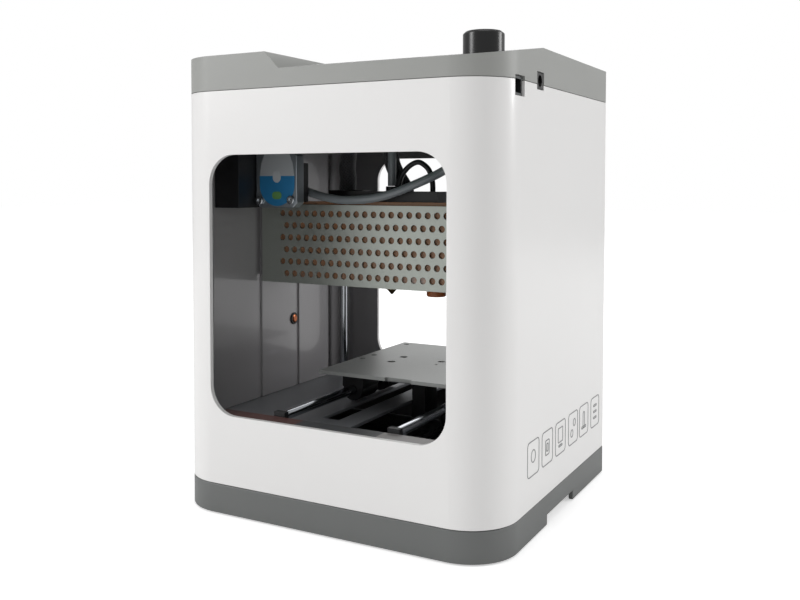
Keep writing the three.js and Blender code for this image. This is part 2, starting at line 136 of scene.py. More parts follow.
def startMaterial(name, roughness, metallic=0.0, extra=None):
    material = bpy.data.materials.new(name)
    material.use_nodes = True
    tree = material.node_tree
    shader = tree.nodes["Principled BSDF"]
    shader.inputs["Roughness"].default_value = roughness
    shader.inputs["Metallic"].default_value = metallic
    for key, value in (extra or {}).items():
        shader.inputs[key].default_value = value
    place = addNode(tree, "ShaderNodeTexCoord").outputs["Object"]
    return material, tree, shader, place


def mixTwo(tree, factor, low, high):  # colour between two hex codes by a factor socket
    mix = addNode(tree, "ShaderNodeMix", {"data_type": "RGBA"})
    mix.inputs[6].default_value = hexToLinear(low)
    mix.inputs[7].default_value = hexToLinear(high)
    tree.links.new(factor, mix.inputs[0])
    return mix.outputs[2]


def rangeOf(tree, source, low, high):
    ranged = addNode(tree, "ShaderNodeMapRange", {"To Min": low, "To Max": high}, {"Value": source})
    return ranged.outputs["Result"]


def mouldedPlastic(name, light, dark, roughness, grain, relief, sheen=0.0):
    # Injection-moulded ABS: even colour, a fine spark-eroded grain, slightly cloudy gloss.
    material, tree, shader, place = startMaterial(name, roughness, 0.0, {"IOR": 1.53, "Coat Weight": sheen})
    cloud = addNode(tree, "ShaderNodeTexNoise", {"Scale": 14.0, "Detail": 3.0}, {"Vector": place})
    tree.links.new(mixTwo(tree, cloud.outputs["Fac"], dark, light), shader.inputs["Base Color"])
    tree.links.new(rangeOf(tree, cloud.outputs["Fac"], roughness - 0.02, roughness + 0.03), shader.inputs["Roughness"])
    fine = addNode(tree, "ShaderNodeTexNoise", {"Scale": 1.0 / (grain * mm), "Detail": 2.0}, {"Vector": place})
    bump = addNode(tree, "ShaderNodeBump", {"Strength": relief, "Distance": 0.1 * mm}, {"Height": fine.outputs["Fac"]})
    tree.links.new(bump.outputs["Normal"], shader.inputs["Normal"])
    return material


def innerShadedShell(name, light, dark, shadeColour, roughness, grain, relief, sheen, halfX, halfY):
    # The shell's white plastic with painted shade: its inner faces are coloured grey to stand for the shade inside the
    # housing.
    material = mouldedPlastic(name, light, dark, roughness, grain, relief, sheen)
    tree = material.node_tree
    shader = next(node for node in tree.nodes if node.type == "BSDF_PRINCIPLED")
    outerColour = shader.inputs["Base Color"].links[0].from_socket
    place = addNode(tree, "ShaderNodeTexCoord").outputs["Object"]
    parts = addNode(tree, "ShaderNodeSeparateXYZ", {}, {"Vector": place})
    sides = []
    for axis, half in (("X", halfX), ("Y", halfY)):
        distance = addNode(tree, "ShaderNodeMath", {"operation": "ABSOLUTE"}, {0: parts.outputs[axis]})
        sides.append(addNode(tree, "ShaderNodeMath", {"operation": "LESS_THAN", 1: half * mm},
                             {0: distance.outputs[0]}).outputs[0])
    normal = addNode(tree, "ShaderNodeNewGeometry").outputs["Normal"]
    outward = addNode(tree, "ShaderNodeVectorMath", {"operation": "DOT_PRODUCT"}, {0: normal, 1: place})
    inward = addNode(tree, "ShaderNodeMath", {"operation": "LESS_THAN", 1: 0.0}, {0: outward.outputs["Value"]})
    core = addNode(tree, "ShaderNodeMath", {"operation": "MULTIPLY"}, {0: sides[0], 1: sides[1]})
    inside = addNode(tree, "ShaderNodeMath", {"operation": "MULTIPLY"}, {0: core.outputs[0], 1: inward.outputs[0]})
    # Painted shade: the inner faces take the grey shade colour.
    insideShade = addNode(tree, "ShaderNodeMix", {"data_type": "RGBA", 7: hexToLinear(shadeColour)},
                      {0: inside.outputs[0], 6: outerColour})
    tree.links.new(insideShade.outputs[2], shader.inputs["Base Color"])
    return material


def drawnMetal(name, light, dark, roughness, stretch, pitch, relief, metallic=1.0):
    # Metal with fine lines left by drawing, grinding or rolling; stretch is large along the lines' short way.
    material, tree, shader, place = startMaterial(name, roughness, metallic)
    lay = addNode(tree, "ShaderNodeMapping", {"Scale": stretch}, {"Vector": place})
    lines = addNode(tree, "ShaderNodeTexNoise", {"Scale": 1.0 / (pitch * mm), "Detail": 2.0},
                    {"Vector": lay.outputs["Vector"]})
    cloud = addNode(tree, "ShaderNodeTexNoise", {"Scale": 22.0, "Detail": 3.0}, {"Vector": place})
    tree.links.new(mixTwo(tree, cloud.outputs["Fac"], dark, light), shader.inputs["Base Color"])
    tree.links.new(rangeOf(tree, lines.outputs["Fac"], roughness - 0.08, roughness + 0.08), shader.inputs["Roughness"])
    bump = addNode(tree, "ShaderNodeBump", {"Strength": relief, "Distance": 0.05 * mm},
                   {"Height": lines.outputs["Fac"]})
    tree.links.new(bump.outputs["Normal"], shader.inputs["Normal"])
    return material


def braidedSleeve(name, light, dark):
    # Braided polyester sleeve: strands cross at 45 degrees, about 1.6 mm apart, with a dull sheen.
    material, tree, shader = startMaterial(name, 0.62, 0.0, {"Sheen Weight": 0.3})[:3]
    weave = addNode(tree, "ShaderNodeUVMap", {"uv_map": "sleeve"}).outputs["UV"]
    bands = []
    for angle in (0.785, -0.785):
        turned = addNode(tree, "ShaderNodeMapping", {"Rotation": (0.0, 0.0, angle)}, {"Vector": weave})
        bands.append(addNode(tree, "ShaderNodeTexWave", {"Scale": 1.0 / 1.6 / 3.1, "Distortion": 0.0},
                             {"Vector": turned.outputs["Vector"]}).outputs["Fac"])
    cross = addNode(tree, "ShaderNodeMath", {"operation": "MAXIMUM"}, {0: bands[0], 1: bands[1]}).outputs["Value"]
    tree.links.new(mixTwo(tree, cross, dark, light), shader.inputs["Base Color"])
    bump = addNode(tree, "ShaderNodeBump", {"Strength": 0.8, "Distance": 0.4 * mm}, {"Height": cross})
    tree.links.new(bump.outputs["Normal"], shader.inputs["Normal"])
    return material


def circuitBoard(name):
    # Epoxy board with green solder mask and faint copper tracks about 1 mm apart.
    material, tree, shader, place = startMaterial(name, 0.4, 0.0, {"Coat Weight": 0.3})
    tracks = addNode(tree, "ShaderNodeTexBrick", {"Scale": 160.0, "Mortar Size": 0.03, "Color1": hexToLinear("#1c5f3d"),
                     "Color2": hexToLinear("#185436"), "Mortar": hexToLinear("#2f8a58")}, {"Vector": place})
    tree.links.new(tracks.outputs["Color"], shader.inputs["Base Color"])
    bump = addNode(tree, "ShaderNodeBump", {"Strength": 0.3, "Distance": 0.05 * mm}, {"Height": tracks.outputs["Fac"]})
    tree.links.new(bump.outputs["Normal"], shader.inputs["Normal"])
    return material


def amberSheet(name):
    # Tinted acrylic: smooth, brown, lets a little of what is behind through.
    material, tree, shader, place = startMaterial(name, 0.16, 0.0, {"Alpha": 0.76, "IOR": 1.49})
    cloud = addNode(tree, "ShaderNodeTexNoise", {"Scale": 30.0}, {"Vector": place})
    tree.links.new(mixTwo(tree, cloud.outputs["Fac"], "#8a6448", "#9a7254"), shader.inputs["Base Color"])
    tree.links.new(rangeOf(tree, cloud.outputs["Fac"], 0.12, 0.22), shader.inputs["Roughness"])
    return material


def zonedSill(name, light, middle, brown, edges):
    # Painted ledge with three printed zones from left to right: brown, dark grey, light grey.
    material, tree, shader, place = startMaterial(name, 0.4)
    along = addNode(tree, "ShaderNodeSeparateXYZ", {}, {"Vector": place}).outputs["X"]
    grit = addNode(tree, "ShaderNodeTexNoise", {"Scale": 420.0, "Detail": 3.0}, {"Vector": place})
    steps = [addNode(tree, "ShaderNodeMapRange", {"From Min": (edge - 0.3) * mm, "From Max": (edge + 0.3) * mm},
                     {"Value": along}).outputs["Result"] for edge in edges]
    low = addNode(tree, "ShaderNodeMix", {"data_type": "RGBA", 6: hexToLinear(brown), 7: hexToLinear(middle)},
                  {0: steps[0]})
    high = addNode(tree, "ShaderNodeMix", {"data_type": "RGBA", 7: hexToLinear(light)},
                   {0: steps[1], 6: low.outputs[2]})
    tree.links.new(high.outputs[2], shader.inputs["Base Color"])
    bump = addNode(tree, "ShaderNodeBump", {"Strength": 0.3, "Distance": 0.1 * mm}, {"Height": grit.outputs["Fac"]})
    tree.links.new(bump.outputs["Normal"], shader.inputs["Normal"])
    return material


def twoToneLabel(name, splitZ):
    # Printed foil label: blue lower part, silver upper part.
    material, tree, shader, place = startMaterial(name, 0.32, 0.35)
    parts = addNode(tree, "ShaderNodeSeparateXYZ", {}, {"Vector": place})
    height = addNode(tree, "ShaderNodeMath", {"operation": "SUBTRACT", 1: splitZ}, {0: parts.outputs["Z"]})
    step = addNode(tree, "ShaderNodeMapRange", {"From Min": -0.2 * mm, "From Max": 0.2 * mm},
                   {"Value": height.outputs[0]})
    tree.links.new(mixTwo(tree, step.outputs["Result"], "#2d7fb4", "#b4b8bb"), shader.inputs["Base Color"])
    foil = addNode(tree, "ShaderNodeTexNoise", {"Scale": 900.0}, {"Vector": place})
    tree.links.new(rangeOf(tree, foil.outputs["Fac"], 0.26, 0.4), shader.inputs["Roughness"])
    return material


finishes = {
    # The white shell carries painted shade: its inner faces are grey for the shade inside the housing.
    "whiteShell": innerShadedShell("whiteSemiGlossAbs", "#ebeae9", "#e9e8e7", "#959395", 0.28, 0.9, 0.03, 0.3,
                             102.3, 97.3),
    "greyBase": mouldedPlastic("greyMouldedAbs", "#6b6d6c", "#656766", 0.46, 0.7, 0.22),
    "greyCover": mouldedPlastic("lightGreyMouldedAbs", "#9b9c99", "#939491", 0.44, 0.7, 0.2),
    # The liner's grey is painted shade: the white liner is coloured grey for the shade inside the housing.
    "wallLining": mouldedPlastic("whiteLinerPaintedShade", "#989698", "#8f8d8f", 0.22, 1.2, 0.04, 0.4),
    "blackMoulding": mouldedPlastic("blackGlassFilledNylon", "#161719", "#0f1012", 0.46, 0.6, 0.3),
    "headBlack": mouldedPlastic("blackMouldedAbs", "#121214", "#0b0b0d", 0.42, 0.6, 0.25),
    "knobBlack": mouldedPlastic("blackTurnedKnob", "#060607", "#040405", 0.24, 1.0, 0.02, 0.0),
    "jackBlack": mouldedPlastic("blackSocketNylon", "#0e0e0f", "#09090a", 0.4, 0.5, 0.2),
    "footRubber": mouldedPlastic("blackFootRubber", "#232324", "#1b1b1c", 0.82, 0.5, 0.4),
    "beltRubber": mouldedPlastic("blackBeltNeoprene", "#1c1c1e", "#141416", 0.75, 0.4, 0.4),
    "leadJacket": mouldedPlastic("blackPvcLead", "#18181a", "#101012", 0.4, 0.8, 0.12),
    "greyTubing": mouldedPlastic("greyNylonTube", "#868c90", "#7a8084", 0.34, 1.5, 0.05, 0.3),
    "inkGrey": mouldedPlastic("greyScreenInk", "#8c8e8e", "#7c7e7f", 0.6, 0.4, 0.1),
    "screenGlass": mouldedPlastic("darkScreenGlass", "#1b2731", "#15202a", 0.1, 3.0, 0.01, 0.8),
    "sillPaint": zonedSill("threeZonePaintedSill", "#8c8988", "#3c3e40", "#553530", (-20.0, 33.0)),
    "darkPlate": drawnMetal("darkGreyPaintedSteel", "#94969a", "#86888c", 0.42, (1.0, 0.2, 1.0), 0.6, 0.2, 0.3),
    "panelMetal": drawnMetal("satinPanelSteel", "#b3b8b1", "#a3a8a2", 0.36, (0.12, 1.0, 1.0), 0.35, 0.18, 0.75),
    "bedMetal": drawnMetal("satinBedAluminium", "#a5a7a5", "#999b99", 0.42, (1.0, 0.12, 1.0), 0.4, 0.15, 0.3),
    "hotEndMetal": drawnMetal("turnedAluminium", "#c3c5c6", "#aeb1b2", 0.3, (1.0, 1.0, 4.0), 0.5, 0.15),
    "rodSteel": drawnMetal("groundChromedSteel", "#b9bcc0", "#a8acb0", 0.12, (1.0, 1.0, 1.0), 0.5, 0.03),
    "driveSteel": drawnMetal("machinedSteel", "#b4b7ba", "#9ea1a4", 0.3, (0.3, 0.3, 3.0), 0.5, 0.15),
    "motorCase": drawnMetal("blackLacqueredMotor", "#2d2e31", "#232427", 0.36, (1.0, 1.0, 3.0), 0.6, 0.15, 0.5),
    "feederCase": drawnMetal("greyMotorCase", "#9aa0a5", "#878d92", 0.32, (1.0, 0.2, 1.0), 0.5, 0.15, 0.8),
    "nozzleBrass": drawnMetal("darkenedBrass", "#6d5a38", "#4d4029", 0.38, (1.0, 1.0, 3.0), 0.4, 0.2),
    "probeSteel": drawnMetal("nickelledBrass", "#c6c5c0", "#b0afaa", 0.24, (0.2, 0.2, 3.0), 0.9, 0.5),
    "copperScrew": drawnMetal("copperedSteelScrew", "#b5714f", "#8f5238", 0.32, (1.0, 1.0, 1.0), 0.5, 0.1),
    "screwSteel": drawnMetal("brightSocketScrew", "#c4c8cb", "#a9adb0", 0.22, (1.0, 1.0, 1.0), 0.5, 0.1),
    "portSteel": drawnMetal("tinnedPortSteel", "#6b6d6e", "#5c5e5f", 0.34, (1.0, 1.0, 0.3), 0.5, 0.1),
    "probeOrange": mouldedPlastic("orangeSensorCap", "#b8682f", "#a65a26", 0.38, 0.8, 0.1),
    "braid": braidedSleeve("blackBraidedSleeve", "#343438", "#0d0d0f"),
    "board": circuitBoard("greenCircuitBoard"),
    "amber": amberSheet("amberAcrylic"),
}
print("stage: materials", len(finishes))


# floor

def addFloor():
    data = bpy.data.meshes.new("studioFloor")
    half = studio["floorHalf"]
    data.from_pydata([(-half, -half, 0), (half, -half, 0), (half, half, 0), (-half, half, 0)], [], [(0, 1, 2, 3)])
    floor = bpy.data.objects.new("studioFloor", data)
    material, tree, shader, place = startMaterial("paperSweep", 0.85)
    cloud = addNode(tree, "ShaderNodeTexNoise", {"Scale": 3.0}, {"Vector": place})
    colour = mixTwo(tree, cloud.outputs["Fac"], studio["floorShade"], studio["floor"])
    tree.links.new(colour, shader.inputs["Base Color"])
    seen = addNode(tree, "ShaderNodeLightPath").outputs["Is Camera Ray"]
    glow = addNode(tree, "ShaderNodeMath", {"operation": "MULTIPLY", 1: studio["floorGlow"]}, {0: seen})
    shader.inputs["Emission Color"].default_value = hexToLinear("#ffffff")
    tree.links.new(glow.outputs[0], shader.inputs["Emission Strength"])
    data.materials.append(material)
    scene.collection.objects.link(floor)


addFloor()


# helpers for pieces

def makePiece(name, points, faces, body, finish, smooth=True):
    data = bpy.data.meshes.new(name)
    data.from_pydata(points.tolist(), [], faces.tolist() if isinstance(faces, np.ndarray) else faces)
    piece = bpy.data.objects.new(name, data)
    scene.collection.objects.link(piece)
    data.materials.append(finishes[finish])
    if smooth:
        data.shade_smooth()
        data.set_sharp_from_angle(angle=math.radians(35))
    if body:
        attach(piece, body)
    return piece


def turnOutward(piece, weld=0.0, dropLoose=False):  # doubled points joined by weld, normals facing out
    mesh = bmesh.new()
    mesh.from_mesh(piece.data)
    if weld:
        bmesh.ops.remove_doubles(mesh, verts=mesh.verts, dist=weld)
        bmesh.ops.dissolve_degenerate(mesh, edges=mesh.edges, dist=weld)
    if dropLoose:
        bmesh.ops.delete(mesh, geom=[vert for vert in mesh.verts if not vert.link_faces], context="VERTS")
    bmesh.ops.recalc_face_normals(mesh, faces=mesh.faces)
    mesh.to_mesh(piece.data)
    mesh.free()


def bodyOf(node):
    groups = frame["record"]["behaviour"]["bodies"]
    return next(name for name, members in groups.items() if node in members)


def edgeBroken(node, finish, width):
    # The node's own surface, welded, flat faces joined, and every hard edge given a small radius.
    mesh = bmesh.new()
    mesh.from_mesh(nodes[node].data)
    bmesh.ops.remove_doubles(mesh, verts=mesh.verts, dist=0.002 * mm)
    bmesh.ops.dissolve_limit(mesh, angle_limit=math.radians(0.6), verts=mesh.verts, edges=mesh.edges)
    data = bpy.data.meshes.new(node + "Finished")
    mesh.to_mesh(data)
    mesh.free()
    data.materials.clear()
    data.materials.append(finishes[finish])
    piece = bpy.data.objects.new(node + "Finished", data)
    scene.collection.objects.link(piece)
    data.shade_smooth()
    data.set_sharp_from_angle(angle=math.radians(32))
    if width:
        bevel = piece.modifiers.new("edgeRadius", "BEVEL")
        bevel.width = width * mm
        bevel.segments = 2
        bevel.limit_method = "ANGLE"
        bevel.angle_limit = math.radians(40)
        bevel.harden_normals = True
    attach(piece, bodyOf(node))
    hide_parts(node)


def smoothPath(points, count):  # Catmull-Rom curve through the points, worked out as one array
    p = np.asarray(points, float)
    p = np.vstack([2 * p[0] - p[1], p, 2 * p[-1] - p[-2]])
    s = np.linspace(0, len(p) - 3 - 1e-9, count)
    k = s.astype(int)
    t = (s - k)[:, None]
    a, b, c, d = p[k], p[k + 1], p[k + 2], p[k + 3]
    return 0.5 * (2 * b + (c - a) * t + (2 * a - 5 * b + 4 * c - d) * t ** 2 + (3 * b - a - 3 * c + d) * t ** 3)


def tubeAlong(name, route, radius, body, slot, finish, rings=60, sides=20):
    # A round section carried along the route: ring i, angle j gives centre + r (cos j, sin j) across it.
    path = smoothPath(route, rings)
    run = np.gradient(path, axis=0)
    run /= np.linalg.norm(run, axis=1)[:, None]
    side = np.cross(run, np.array([0.0, 1.0, 0.0]))
    side /= np.linalg.norm(side, axis=1)[:, None]
    other = np.cross(run, side)
    angle = np.linspace(0, 2 * np.pi, sides, endpoint=False)
    ring = np.cos(angle)[None, :, None] * side[:, None, :] + np.sin(angle)[None, :, None] * other[:, None, :]
    points = (path[:, None, :] + radius * ring).reshape(-1, 3) * mm
    i, j = np.meshgrid(np.arange(rings - 1), np.arange(sides), indexing="ij")
    nextJ = (j + 1) % sides
    quads = np.stack([i * sides + j, i * sides + nextJ, (i + 1) * sides + nextJ, (i + 1) * sides + j], -1)
    faces = quads.reshape(-1, 4).tolist()
    faces.append(list(range(sides - 1, -1, -1)))
    faces.append(list(range((rings - 1) * sides, rings * sides)))
    data = bpy.data.meshes.new(name)
    data.from_pydata(points.tolist(), [], faces)
    along = np.concatenate([[0], np.cumsum(np.linalg.norm(np.diff(path, axis=0), axis=1))])
    loops = len(data.loops)
    corner = np.zeros(loops, np.int32)
    data.loops.foreach_get("vertex_index", corner)
    around = (corner % sides) / sides * 2 * np.pi * radius
    wrap = np.zeros(loops, bool)
    wrap[:len(quads.reshape(-1))] = (quads.reshape(-1, 4)[:, [1, 1, 1, 1]] % sides == 0).reshape(-1)
    around = np.where(wrap & (corner % sides == 0), 2 * np.pi * radius, around)
    layer = data.uv_layers.new(name="sleeve")
    layer.data.foreach_set("uv", np.stack([along[np.minimum(corner // sides, rings - 1)], around], -1).ravel())
    data.materials.append(finishes[finish])
    piece = bpy.data.objects.new(name, data)
    scene.collection.objects.link(piece)
    data.shade_smooth()
    data.set_sharp_from_angle(angle=math.radians(50))
    mesh = bmesh.new()
    mesh.from_mesh(data)
    bmesh.ops.recalc_face_normals(mesh, faces=mesh.faces)
    mesh.to_mesh(data)
    mesh.free()
    if body:
        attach(piece, body)
    return piece


# pieces finished from their own solids

edgeWidths = {
    "base_pan": ("greyBase", 0.7), "outer_shell": ("whiteShell", 0.5), "top_cover": ("greyCover", 1.0),
    "foot_1": ("footRubber", 0.6), "foot_2": ("footRubber", 0.6), "foot_3": ("footRubber", 0.6),
    "foot_4": ("footRubber", 0.6), "lcd_screen": ("screenGlass", 0.2), "display_board": ("board", 0.2),
    "mainboard": ("board", 0.2), "usb_port": ("portSteel", 0.15), "dc_jack": ("jackBlack", 0.2),
    "deck_plate": ("darkPlate", 0.3), "upper_plate": ("darkPlate", 0.3), "front_sill": ("sillPaint", 0.4),
    "left_liner": ("wallLining", 0.25), "right_liner": ("wallLining", 0.25), "wall_screw": ("copperScrew", 0.2),
    "z_rod_left": ("rodSteel", 0.4), "z_rod_right": ("rodSteel", 0.4), "z_motor": ("motorCase", 0.6),
    "y_rod_left": ("rodSteel", 0.4), "y_rod_right": ("rodSteel", 0.4),
    "y_rod_block_front": ("blackMoulding", 0.5), "y_rod_block_rear": ("blackMoulding", 0.5),
    "y_motor": ("motorCase", 0.6), "y_idler": ("driveSteel", 0.15), "y_belt": ("beltRubber", 0.2),
    "lead_screw": ("driveSteel", 0.3), "x_pulley": ("driveSteel", 0.15), "y_pulley": ("driveSteel", 0.15),
    "encoder_shaft": ("driveSteel", 0.3), "knob": ("knobBlack", 0.5),
    "bed_plate": ("bedMetal", 0.12), "bed_carriage": ("darkPlate", 0.3), "belt_arm": ("blackMoulding", 0.5),
    "y_bearing_left": ("blackMoulding", 0.4), "y_bearing_right": ("blackMoulding", 0.4),
    "beam_end_left": ("blackMoulding", 0.4), "beam_end_right": ("blackMoulding", 0.4),
    "x_rod_lower": ("rodSteel", 0.4), "x_rod_upper": ("rodSteel", 0.4), "x_motor": ("motorCase", 0.6),
    "x_belt": ("beltRubber", 0.2), "feeder_motor": ("feederCase", 0.8), "feeder_bracket": ("blackMoulding", 0.8),
    "tint_sheet": ("amber", 0.15), "carriage_block": ("headBlack", 0.5), "heat_sink": ("hotEndMetal", 0.2),
    "heater_block": ("hotEndMetal", 0.4), "nozzle": ("nozzleBrass", 0.1), "fan": ("headBlack", 0.3),
    "probe": ("probeSteel", 0.3), "tube_fitting": ("headBlack", 0.3),
}
for node, (finish, width) in edgeWidths.items():
    edgeBroken(node, finish, width)
print("stage: finished solids", len(edgeWidths))


# perforated panel of the beam

panelSheet = {"halfWidth": 97.0, "front": -20.0, "back": -18.8, "low": 130.0, "high": 182.0,
              "holeRadius": 2.15, "pitch": 6.31, "rowPitch": 7.98, "topRow": 176.2, "rows": 6,
              "firstHole": -80.3, "columns": 26}


def perforatedPanel():
    # A grid of quarter-pitch cells. Each hole takes a 4 by 4 block, whose 16 rim points join to a circle.
    s = panelSheet
    quarter = s["pitch"] / 4
    left = s["firstHole"] - 2 * quarter
    steps = s["columns"] * 4 + 2
    xs = np.concatenate([[-s["halfWidth"]], left + quarter * np.arange(steps + 1), [s["halfWidth"]]])
    bottom = s["topRow"] - s["rowPitch"] * (s["rows"] - 0.5)
    zs = np.concatenate([[s["low"]], bottom + s["rowPitch"] / 4 * np.arange(s["rows"] * 4 + 1), [s["high"]]])
    wide, tall = len(xs), len(zs)
    grid = np.stack(np.meshgrid(xs, zs, indexing="ij"), -1).reshape(-1, 2)
    row, column = np.meshgrid(np.arange(s["rows"]), np.arange(s["columns"]), indexing="ij")
    shift = (s["rows"] - 1 - row) % 2
    i0 = (1 + column * 4 + shift * 2).ravel()
    k0 = (1 + row * 4).ravel()
    around = np.array([(4, 2), (4, 3), (4, 4), (3, 4), (2, 4), (1, 4), (0, 4), (0, 3),
                       (0, 2), (0, 1), (0, 0), (1, 0), (2, 0), (3, 0), (4, 0), (4, 1)])
    rim = (i0[:, None] + around[:, 0]) * tall + k0[:, None] + around[:, 1]
    centre = grid[(i0 + 2) * tall + k0 + 2]
    away = (around - 2) * np.array([quarter, s["rowPitch"] / 4])
    circle = s["holeRadius"] * away / np.linalg.norm(away, axis=1)[:, None]
    rings = (centre[:, None, :] + circle).reshape(-1, 2)
    inner = len(grid) + np.arange(len(rings)).reshape(-1, 16)
    flat = np.vstack([grid, rings])
    ringFaces = np.stack([rim, np.roll(rim, -1, 1), np.roll(inner, -1, 1), inner], -1).reshape(-1, 4)
    solid = np.ones((wide - 1, tall - 1), bool)
    block = np.array([(a, b) for a in range(4) for b in range(4)])
    solid[(i0[:, None] + block[:, 0]).ravel(), (k0[:, None] + block[:, 1]).ravel()] = False
    i, k = np.nonzero(solid)
    cells = np.stack([i * tall + k, (i + 1) * tall + k, (i + 1) * tall + k + 1, i * tall + k + 1], -1)
    face = np.vstack([cells, ringFaces])
    count = len(flat)
    front = np.column_stack([flat[:, 0], np.full(count, s["front"]), flat[:, 1]])
    back = np.column_stack([flat[:, 0], np.full(count, s["back"]), flat[:, 1]])
    holeWall = np.stack([inner, np.roll(inner, -1, 1), np.roll(inner, -1, 1) + count, inner + count], -1)
    edge = np.concatenate([np.arange(wide) * tall, (wide - 1) * tall + np.arange(1, tall),
                           np.arange(wide - 2, -1, -1) * tall + tall - 1, np.arange(tall - 2, 0, -1)])
    rimWall = np.stack([edge, np.roll(edge, -1), np.roll(edge, -1) + count, edge + count], -1)
    faces = np.vstack([face, face[:, ::-1] + count, holeWall.reshape(-1, 4), rimWall])
    panel = makePiece("perforatedPanel", np.vstack([front, back]) * mm, faces, "beam", "panelMetal")
    turnOutward(panel, dropLoose=True)
    panel.data.set_sharp_from_angle(angle=math.radians(40))
    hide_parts("beam_panel")


perforatedPanel()
print("stage: perforated panel")


# tubes and looms; each rising loom is made as an upper part and a lower part, neither attached to a body

risers = {
    "bowden_tube": {"radius": 2.75, "slot": "grey_tube", "finish": "greyTubing", "side": 18,
                    "low": [(-8.4, 0, 194.2), (-8.4, 0, 201), (-8.4, 0, 208), (-8.4, 0, 216)],
                    "high": [(-8.4, 0, 216), (-8.4, 0, 230), (-8.4, 0, 246), (-8.4, 0, 262)]},
    "loom_left": {"radius": 5.6, "slot": "braid_black", "finish": "braid", "side": 28,
                  "low": [(-46, 7, 191.5), (-45.6, 7, 199), (-46.3, 7, 206), (-45.4, 7, 216)],
                  "high": [(-45.4, 7, 216), (-44.4, 7, 228), (-44, 7, 246), (-44, 7, 262)]},
    "loom_right": {"radius": 5.2, "slot": "braid_black", "finish": "braid", "side": 28,
                   "low": [(-3.6, 11.4, 187.4), (-4.6, 11.3, 192.4), (-7.1, 11.1, 196.6), (-10.6, 11, 202),
                           (-13.8, 11, 208.5), (-15.4, 11, 216)],
                   "high": [(-15.4, 11, 216), (-16.2, 11, 224), (-16.4, 11, 240), (-16.4, 11, 262)]},
}


stretch = {"lowTop": 0.2155, "lowFoot": 0.193, "highTop": 0.261, "highFoot": 0.2165, "rings": 40}


def addRisers():
    for node, s in risers.items():
        shared = (s["radius"], None, s["slot"], s["finish"], stretch["rings"], s["side"])
        low = tubeAlong(node + "Lower", s["low"], *shared)
        high = tubeAlong(node + "Upper", s["high"], *shared)
        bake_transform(low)
        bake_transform(high)
        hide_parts(node)


addRisers()

feedTube = {"radius": 2.7, "route": [(-82.6, -14, 197.6), (-71.6, -16, 194.4), (-62, -18, 190.8), (-53.9, -19, 188.5),
            (-41.7, -21, 186.3), (-30.3, -22, 185.4), (-16, -22.5, 186), (-4.8, -22, 187.6), (5.9, -21, 190.6),
            (15.9, -19, 194.6), (25.3, -16, 198.9), (33.1, -12, 203.3), (48, -9, 212.6), (58, -7, 224), (64, -6, 238)]}
tubePiece = tubeAlong("feedTube", feedTube["route"], feedTube["radius"], None, "grey_tube", "greyTubing", 90, 20)
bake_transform(tubePiece)
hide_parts("feed_tube")

probeLead = {"radius": 1.7, "route": [(20.8, 0, 190.2), (20.6, 0, 196), (19.6, -0.6, 201.5), (17.2, -1.2, 206),
             (11.9, -2, 209.3), (6, -2.6, 207.2), (1.2, -3.4, 202), (-0.6, -4.6, 196.5), (-0.6, -5.4, 191.1)]}
leadPiece = tubeAlong("probeLead", probeLead["route"], probeLead["radius"], "head", "lead_black", "leadJacket", 60, 14)
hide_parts("probe_lead")
print("stage: tubes and looms")


# small trim: turned caps, screws and label

def turnedRing(name, profile, centre, axis, body, slot, finish, sides):
    # A profile of (radius, height) pairs turned round an axis through the centre.
    p = np.asarray(profile, float)
    angle = np.linspace(0, 2 * np.pi, sides, endpoint=False)
    r, h = p[:, 0][:, None], p[:, 1][:, None]
    u, v, w = r * np.cos(angle), r * np.sin(angle), np.broadcast_to(h, (len(p), sides))
    order = {"x": (w, u, v), "y": (u, w, v), "z": (u, v, w)}[axis]
    points = (np.stack(order, -1).reshape(-1, 3) + np.asarray(centre)) * mm
    i, j = np.meshgrid(np.arange(len(p)), np.arange(sides), indexing="ij")
    n = len(p)
    quads = np.stack([i * sides + j, i * sides + (j + 1) % sides,
                      (i + 1) % n * sides + (j + 1) % sides, (i + 1) % n * sides + j], -1).reshape(-1, 4)
    piece = makePiece(name, points, quads, body, finish)
    turnOutward(piece, weld=0.001 * mm)
    piece.data.shade_smooth()
    piece.data.set_sharp_from_angle(angle=math.radians(35))


socketHead = [(0.001, -0.5), (1.2, -0.5), (1.3, -1.5), (2.3, -1.5), (2.7, -1.1), (2.7, 0.3), (0.001, 0.3)]
probeCap = [(0.001, 124.7), (5.6, 124.7), (6.15, 125.3), (6.15, 131.5), (6.0, 131.8), (0.001, 131.8)]
lockNut = [(6.1, 172.6), (9.2, 172.6), (9.6, 173.2), (9.6, 176.8), (9.2, 177.4), (6.1, 177.4)]
# A black ring round the wall screw: painted shade standing for the shaded hole round the screw.
holeShadeRing = [(3.2, 0.0), (4.2, 0.0), (4.2, 0.7), (3.9, 1.0), (3.2, 1.0)]
turnedTrim = [
    ("motorScrew1", socketHead, (-76.4, -50.35, 185.0), "y", "beam", "feeder_case", "screwSteel", 32),
    ("motorScrew2", socketHead, (-52.6, -50.35, 185.6), "y", "beam", "feeder_case", "screwSteel", 32),
    ("probeTip", probeCap, (23.4, 0, 0), "z", "head", "probe_steel", "probeOrange", 32),
    ("probeLockRing", lockNut, (23.4, 0, 0), "z", "head", "probe_steel", "probeSteel", 6),
    # painted shade: black ring for the shaded hole round the wall screw
    ("wallScrewHoleShade", holeShadeRing, (-99.65, 21.2, 99.3), "x", "housing", "copper_screw", "headBlack", 32),
]
for trim in turnedTrim:
    turnedRing(*trim)


def roundedLoop(halfU, halfV, radius, perCorner=8):  # points round a rounded rectangle, in order
    angle = np.linspace(0, np.pi / 2, perCorner)
    turn = np.concatenate([angle + k * np.pi / 2 for k in range(4)])
    signU = np.repeat([1, -1, -1, 1], perCorner)
    signV = np.repeat([1, 1, -1, -1], perCorner)
    return np.column_stack([signU * (halfU - radius) + radius * np.cos(turn),
                            signV * (halfV - radius) + radius * np.sin(turn)])


